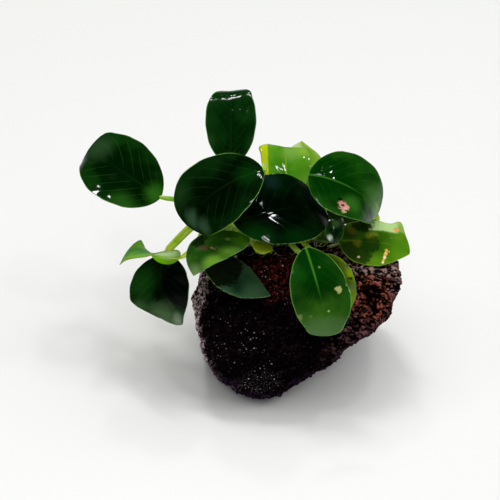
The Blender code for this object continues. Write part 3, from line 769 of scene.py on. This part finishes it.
def leaf_finish(name):
    """Waxy skin with side veins, a midrib, a thin pale rim and the tones and marks of that leaf, some of
    them painted sheen, highlight or shade.
    """
    wear = LOOKS[name]
    skin = Finish("skin_" + name)
    along, across, upper = skin.split(skin.read("blade"))
    sheet = skin.read("sheet")
    mm_along, mm_left, _ = skin.split(sheet)
    clouds, blots, fine = (skin.clouds(size) for size in (7, 3.5, 1.2))
    out = abs(across)
    phase = (along - out ** VEIN_BOW * VEIN_SWEEP + (clouds - 0.5) * 0.05) * VEINS
    vein = skin.soft(abs(skin.sum("FRACT", phase) - 0.5), 0.06, 0)
    vein = vein * skin.soft(out, 0.02, 0.3) * skin.soft(out, 0.97, 0.7)
    thread = skin.soft(abs(skin.sum("FRACT", phase * 3) - 0.5), 0.12, 0)
    rib = skin.soft(abs(mm_left) + along * RIB_NARROWS, *RIB_EDGE)

    skin.colour = skin.blend(vein * 0.3 + rib * 0.4, wear.under, wear.light)
    wash(skin, sheet, blots, wear.under_washes)
    below = skin.colour

    outwards = skin.soft(out * 0.6 + along * 0.25 + (clouds - 0.5) * 1.2, 0.2, 0.85)
    skin.colour = skin.blend(outwards, wear.deep, wear.light)
    wash(skin, sheet, blots, wear.washes)
    lines = (vein * 0.94 + thread * 0.06) * skin.soft(blots, 0.15, 0.5)
    skin.lay(lines * wear.veins, wear.vein)
    rib = rib * skin.soft(along + (blots - 0.5) * 0.3, wear.rib_end, wear.rib_end * 0.35)
    skin.lay(rib * wear.ribs, wear.rib)
    # painted light: strips where a margin is painted as if folded to catch the light
    for side, from_rib, start, end, colour, share in wear.strips:
        beyond = mm_left * side + (fine - 0.5) * 0.6
        shown = skin.soft(beyond, from_rib - STRIP_EDGE, from_rib + STRIP_EDGE)
        shown = shown * skin.soft(mm_along, start, start + STRIP_FADE)
        shown = shown * skin.soft(mm_along, end, end - STRIP_FADE)
        skin.lay(shown * share, colour)
    for x, y, size, colour, share in wear.marks:
        away = skin.distance(sheet, (x, y, 0)) + (fine - 0.5) * min(size * 1.6, MARK_STRAY)
        skin.lay(skin.soft(away, size, size - min(size * 0.55, MARK_EDGE)) * share, colour)

    skin.colour = skin.blend(upper, below, skin.colour)
    skin.lay(skin.soft(skin.read("edge", "Fac"), *RIM_EDGE) * wear.rim, wear.rim_tone)
    shine = (0.15 + upper * 0.85) * wear.wax
    for x, y, reach in wear.dull:
        shine = shine * skin.soft(skin.distance(sheet, (x, y, 0)), reach * 0.6, reach)
    skin.dress(0.5 + (1 - upper) * 0.1 + (fine - 0.5) * 0.12, shine, wear.blur, 0)
    skin.bump(skin.clouds(0.6, 2), 0.012)
    skin.let_light_through(wear.glow, wear.through)
    return skin


def half_width(form, s, fullness):
    """Half of a blade's width in mm at the shares s of its length, given its power at the base."""
    below = np.clip((form.widest - s) / form.widest, 0, 1)
    above = np.clip((s - form.widest) / (1 - form.widest), 0, 1)
    base = (1 - below ** BASE_ROUNDNESS[0]) ** fullness
    tip = (1 - above ** TIP_ROUNDNESS[0]) ** form.point
    return np.where(s < form.widest, base, tip) * form.width / 2


def midrib(form, s):
    """Points, across directions and upper-face directions at the shares s of a blade, mm."""
    curling = np.clip((s - CURL_FROM) / (1 - CURL_FROM), 0, 1) ** 1.5
    pitch = np.radians(form.pitch - form.bend * s - form.curl * curling)
    yaw = np.radians(form.heading + form.sway * s)
    roll = np.radians(form.roll + form.twist * s)[:, None]
    ahead = np.stack([np.cos(pitch) * np.cos(yaw), np.cos(pitch) * np.sin(yaw), np.sin(pitch)], 1)
    strides = (ahead[1:] + ahead[:-1]) / 2 * form.length * np.diff(s)[:, None]
    points = np.vstack([np.zeros(3), np.cumsum(strides, 0)]) + form.base
    left = np.stack([-np.sin(yaw), np.cos(yaw), np.zeros_like(yaw)], 1)
    up = np.cross(ahead, left)
    return points, left * np.cos(roll) + up * np.sin(roll), up * np.cos(roll) - left * np.sin(roll)


def crowded(count):
    """Steps from 0 to 1 that are closer together near both ends."""
    even = np.linspace(0, 1, count + 1)
    return even / 2 + (1 - np.cos(math.pi * even)) / 4


def build_blade(form):
    """A thin blade whose faces meet at the margin, with a grooved midrib, veins and waves."""
    name = form.name
    s = crowded(BLADE_STEPS)
    points, side, top = (rows[:, None] for rows in midrib(form, s))
    s, t = np.meshgrid(s, 2 * crowded(BLADE_COLUMNS) - 1, indexing="ij")
    out, hand = np.abs(t), np.sign(t)
    turn = sum(map(ord, name))  # each leaf waves in its own way
    half = np.where(t > 0, half_width(form, s, form.full_left), half_width(form, s, BASE_ROUNDNESS[1]))
    for at, way, mm in form.corners:
        half = half + mm * np.exp(-((s - at) / CORNER_WIDTH) ** 2) * (t * way > 0) * out ** 4
    slow, fast = (math.tau * waves * s for waves in OUTLINE_WAVES)
    strays = np.sin(slow + turn * hand) + np.sin(fast - turn * hand)
    half = half * (1 + OUTLINE_WAVE * strays * out ** 2)

    ends = s * (1 - s)
    inside = np.minimum(1, 4 * (1 - out)) * np.minimum(1, 8 * ends)
    veins = np.cos(math.tau * (s - VEIN_SWEEP * out ** VEIN_BOW) * VEINS)
    waves = np.sin(math.tau * MARGIN_WAVES * s + turn + hand)
    rise = (form.cup * half * out ** CUP_POWER
            + VEIN_RELIEF * veins * inside * np.minimum(1, 6 * out)
            + MARGIN_WAVE * min(1, form.width / WAVY_WIDTH) * out ** 3 * waves * inside ** 0.5)
    groove = RIB_GROOVE[0] * np.exp(-(t * half / RIB_GROOVE[1]) ** 2) * (1 - s) ** 0.6
    groove = groove * np.minimum(1, 10 * s)
    middle = points + side * (t * half)[..., None] + top * rise[..., None]
    body = BLADE_THICKNESS / 2 * np.sqrt(np.clip(1 - out ** 8, 0, 1) * np.minimum(1, 12 * ends))
    faces = []
    rows, columns = s.shape
    for first in (0, rows * columns):
        for i in range(rows - 1):
            for j in range(columns - 1):
                a = first + i * columns + j
                faces.append((a, a + 1, a + columns + 1, a + columns))

    def both_sides(upper, lower):
        return np.vstack([np.reshape(upper, (-1, 3)), np.reshape(lower, (-1, 3))])

    zero = np.zeros_like(s)
    sheet = np.stack([s * form.length, t * half, zero], -1)
    edge = np.minimum(half * (1 - out), np.minimum(s, 1 - s) * form.length)
    edge = np.stack([edge, edge, edge], -1)
    piece("leaf_" + name,
          both_sides(middle + top * (body - groove)[..., None], middle - top * body[..., None]), faces,
          leaf_finish(name), "leaf_" + LOOKS[name].slot, ["blade_" + name],
          {"blade": both_sides(np.stack([s, t, zero + 1], -1), np.stack([s, t, zero], -1)),
           "sheet": both_sides(sheet, sheet), "edge": both_sides(edge, edge)})


# --- stalks, rhizome and roots ---

def foot_of(form):
    """Where a leaf's stalk leaves the rhizome, and the direction it leaves in, mm."""
    points, radii = smooth_through(RHIZOME, RHIZOME_RINGS)
    share, side = form.foot
    step = share * (RHIZOME_RINGS - 1)
    i = min(int(step), RHIZOME_RINGS - 2)
    point = points[i] + (points[i + 1] - points[i]) * (step - i)
    along = unit(points[i + 1] - points[i])
    back = unit(np.cross([0, 0, 1], along))
    up = np.cross(along, back)
    turn = math.radians(side)
    out = up * math.cos(turn) + back * math.sin(turn)
    return point + out * (max(radii[i], radii[i + 1]) + GAP), out


def stalk_finish(name, deep, light):
    """Two greens in patches, with streaks, a darker groove and a dull end at the blade."""
    skin, clouds = cloudy_skin(name, 4, deep, light)
    along, turn, walked = skin.split(skin.read("run"))
    drawn_out = skin.node("CombineXYZ", {}, {0: turn * 0.004, 1: walked * 0.0002, 2: 0})
    streaks = skin.clouds(0.5, 2, drawn_out)
    skin.lay(skin.soft(streaks, 0.45, 0.7) * 0.35, (84, 132, 26))
    skin.lay(skin.soft(abs(turn - 0.5), 0.42, 0.48) * 0.5, (60, 104, 16))
    skin.lay(skin.soft(along, 0.9, 0.99) * 0.8, (150, 140, 66))
    skin.dress(0.3 + (clouds - 0.5) * 0.2, 0.6, 0.06)
    skin.bump(streaks, 0.06)
    skin.let_light_through(0.3, (190, 226, 60))
    return skin


def build_stalk(form, skin):
    """A stalk from under its blade, where it goes on as the rib, down into the rhizome."""
    points, _, top = midrib(form, np.linspace(0, 1, BLADE_STEPS + 1))
    last = int(KEEL_END * BLADE_STEPS)
    start, end = KEEL_RADII
    start = start * min(1, form.length / LEAVES[0].length)
    keel_radii = np.linspace(end, start, last)
    keel = points[last:0:-1] - top[last:0:-1] * (keel_radii + KEEL_DROP)[:, None]
    foot, out = foot_of(form)
    arrive = direction(*form.arrive)
    end = form.base - arrive * form.gap
    reach = form.arch * np.linalg.norm(end - foot)
    knots = [end, end - arrive * reach, foot + out * reach, foot]
    t = np.linspace(0, 1, STALK_STEPS)[:, None]
    curve = ((1 - t) ** 3 * knots[0] + 3 * t * (1 - t) ** 2 * knots[1] + 3 * t ** 2 * (1 - t) * knots[2]
             + t ** 3 * knots[3])
    at_foot, at_blade = STALK_TAPER
    radii = form.thick * (at_blade + (at_foot - at_blade) * t[:, 0])
    radii = radii * (1 + SHEATH[0] * np.exp(-(1 - t[:, 0]) / SHEATH[1]))
    run = np.vstack([keel, curve, foot - out * (GAP + SUNK)])
    radii = np.concatenate([keel_radii, radii, radii[-1:]])
    radii = np.convolve(np.pad(radii, 3, mode="edge"), np.ones(7) / 7, mode="valid")
    deep, wide = STALK_GROOVE

    def grooved(angles):
        return 1 - deep * np.exp(-(np.abs(np.angle(np.exp(1j * angles))) / wide) ** 2)[None]

    made = tube(eased(run, STALK_EASING), radii, STALK_SIDES, top[last], grooved)
    tube_piece("stalk_" + form.name, [made], skin, "petiole", ["petiole_" + form.name])


def rhizome_finish():
    skin, clouds = cloudy_skin("rhizome_skin", 3, (138, 178, 56), (186, 218, 92))
    walked = skin.split(skin.read("run"))[2]
    scars = skin.sum("FRACT", walked * (1 / SCAR_SPACING) + (clouds - 0.5) * 0.5)
    skin.lay(skin.soft(abs(scars - 0.5), 0.16, 0.04) * 0.5, (84, 72, 34))
    skin.dress(0.45 + (clouds - 0.5) * 0.3, 0.4, 0.1)
    skin.bump(skin.clouds(0.6), 0.12)
    return skin


def build_rhizome():
    """The creeping stem, with a ridge at each leaf scar and rounded ends."""
    points, radii = smooth_through(RHIZOME, RHIZOME_RINGS * RHIZOME_DETAIL)
    walked = walked_along(points)
    scar = np.abs(np.mod(walked / SCAR_SPACING, 1) - 0.5) * 2
    radii = radii + SCAR_RIDGE * (scar ** 3 - 0.4)
    ends = np.clip(np.minimum(walked, walked[-1] - walked) / radii, 0, 1)
    radii = radii * np.sqrt(np.clip(1 - (1 - ends) ** 2, RHIZOME_TIP ** 2, 1))

    def uneven(angles):
        return (1 + 0.03 * np.sin(5 * angles) + 0.02 * np.sin(9 * angles + 1))[None]

    made = tube(points, radii, RHIZOME_SIDES, profile=uneven)
    tube_piece("rhizome_stem", [made], rhizome_finish(), "rhizome", ["rhizome"])


def root_finish():
    skin = cloudy_skin("root_skin", 2, (150, 140, 96), (206, 202, 160))[0]
    along = skin.split(skin.read("run"))[0]
    skin.lay(skin.soft(along, 0.5, 1) * 0.8, (104, 74, 44))
    skin.dress(0.5, 0.3, 0.15)
    skin.bump(skin.clouds(0.4), 0.05)
    return skin


def root_tube(surface, start, heading, length, radius, step_length, wander, taper, sides):
    """A root that follows the stone from beside the rhizome, mm."""
    centre = np.array(STONE_CENTRE, float)
    way = unit(start - centre)
    points, radii = [], []
    steps = int(length / step_length)
    for step in range(steps + 1):
        share = step / steps
        hit, normal, _, _ = surface.ray_cast(Vector((centre + way * FAR_OUT) * MM), Vector(-way))
        spot = np.array(hit) / MM
        size = radius * (taper[0] + (taper[1] - taper[0]) * share)
        points.append(spot + np.array(normal) * size * ROOT_PROUD)
        radii.append(size)
        stray = wander * noise.noise(Vector((step * step_length * ROOT_BENDS, heading, length)))
        ahead = direction(heading + stray, ROOT_DROP[0] + (ROOT_DROP[1] - ROOT_DROP[0]) * share)
        level = unit(ahead - way * (ahead @ way))
        way = unit(spot + level * step_length - centre)
    return tube(eased(np.array(points), 2), np.array(radii), sides)


def build_roots(stone):
    """Five roots and many rootlets, which leave the rhizome and lie on the stone."""
    surface = BVHTree.FromObject(stone, bpy.context.evaluated_depsgraph_get())
    skin = root_finish()
    rings, _ = smooth_through(RHIZOME, RHIZOME_RINGS)

    def start(share, heading, away):
        return rings[round(share * (RHIZOME_RINGS - 1))] + direction(heading, 0) * away

    for name, share, heading, length, radius in ROOTS:
        made = root_tube(surface, start(share, heading, ROOT_START), heading, length, radius,
                         *ROOT_RUN)
        tube_piece("holdfast_" + name, [made], skin, "root", ["root_" + name])
    chance = np.random.default_rng(ROOTLET_SEED)
    hairs = []
    for _ in range(ROOTLETS):
        share = chance.uniform(0.02, 0.98)
        heading = chance.choice(ROOTLET_HEADINGS) + chance.normal(0, ROOTLET_SPREAD)
        length = chance.uniform(*ROOTLET_LENGTH) * (ROOTLET_SHORT if heading > 180 else 1)
        begin = start(share, heading, chance.uniform(*ROOTLET_START))
        hairs.append(root_tube(surface, begin, heading, length, ROOTLET_RADIUS, *ROOTLET_RUN))
    tube_piece("rootlets", hairs, skin, "root", [])


def spear_finish():
    skin = Finish("young_leaf_skin")
    along = skin.split(skin.read("run"))[0]
    higher = skin.soft(along + (skin.clouds(2) - 0.5) * 0.4, 0.5, 0.8)
    skin.colour = skin.blend(higher, (30, 54, 10), (40, 16, 12))
    skin.dress(0.3, 0.6, 0.06)
    skin.bump(skin.clouds(0.5), 0.05)
    return skin


def build_spear():
    """The rolled leaf: a tapering roll whose free margin winds round it."""
    points, radii = smooth_through(SPEAR, SPEAR_STEPS)
    winding = np.linspace(0, SPEAR_TURNS * math.tau, SPEAR_STEPS)[:, None]

    def rolled(angles):
        return SPEAR_ROLL[0] + SPEAR_ROLL[1] * np.mod(angles[None] + winding, math.tau) / math.tau

    made = tube(points, radii, SPEAR_SIDES, profile=rolled)
    tube_piece("young_leaf_roll", [made], spear_finish(), "young_leaf", ["rolled_young_leaf"])


# --- stage ---

def aimed(name, held, heading, height, distance):
    """A camera or lamp that looks at the plant from that heading, height and metres away."""
    target = np.array(LOOK_AT) * MM
    made = placed(bpy.data.objects.new(name, held))
    made.location = target + direction(heading, height) * distance
    made.rotation_euler = (Vector(target) - made.location).to_track_quat("-Z", "Y").to_euler()
    return made


def build_camera():
    lens = bpy.data.cameras.new("camera")
    lens.lens = LENS
    lens.clip_start, lens.clip_end = 0.01, 20
    bpy.context.scene.camera = aimed("camera", lens, -90, CAMERA_ELEVATION, CAMERA_DISTANCE * MM)


def lamp(name, heading, height, distance, across, turn, power, mirrored):
    light = bpy.data.lights.new(name, "AREA")
    light.shape = "ELLIPSE"
    light.size, light.size_y = across
    light.energy = power
    made = aimed(name, light, heading, height, distance)
    made.rotation_euler.rotate_axis("Z", math.radians(turn))
    made.visible_glossy = mirrored


def floor_finish():
    skin = Finish("white_floor", (0.78, 0.78, 0.77))
    skin.dress(0.45)
    return skin


def build_floor():
    reach = FLOOR_REACH
    mesh = bpy.data.meshes.new("floor")
    corners = [(-reach, -reach, 0), (reach, -reach, 0), (reach, reach, 0), (-reach, reach, 0)]
    mesh.from_pydata(corners, [], [(0, 1, 2, 3)])
    mesh.materials.append(floor_finish().material)
    floor = placed(bpy.data.objects.new("floor", mesh))
    floor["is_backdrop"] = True


def build_room():
    """Light all round that darkens overhead, as the leaves mirror it."""
    world = bpy.data.worlds.new("room")
    world.use_nodes = True
    room = Nodes(world.node_tree)
    height = room.split(room.node("TexCoord", {}, {}, "Generated"))[2]
    light = room.mix(room.soft(height, *HORIZON_FADE), HORIZON_LIGHT, OVERHEAD_LIGHT)
    room.feed(room.tree.nodes["Background"].inputs["Color"], light)
    bpy.context.scene.world = world
    bpy.context.scene.view_settings.view_transform = "Standard"


build_camera()
build_floor()
build_room()
for entry in LAMPS:
    lamp(*entry)
build_roots(build_stone())
build_rhizome()
stalks = {stem: stalk_finish("stalk_" + stem, *tones) for stem, tones in STALK_TONES.items()}
for form in LEAVES:
    build_blade(form)
    build_stalk(form, stalks[LOOKS[form.name].stalk])
build_spear()

bounds = {"cad": [list(solid_low), list(solid_high)], "visual": [list(corner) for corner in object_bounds()]}
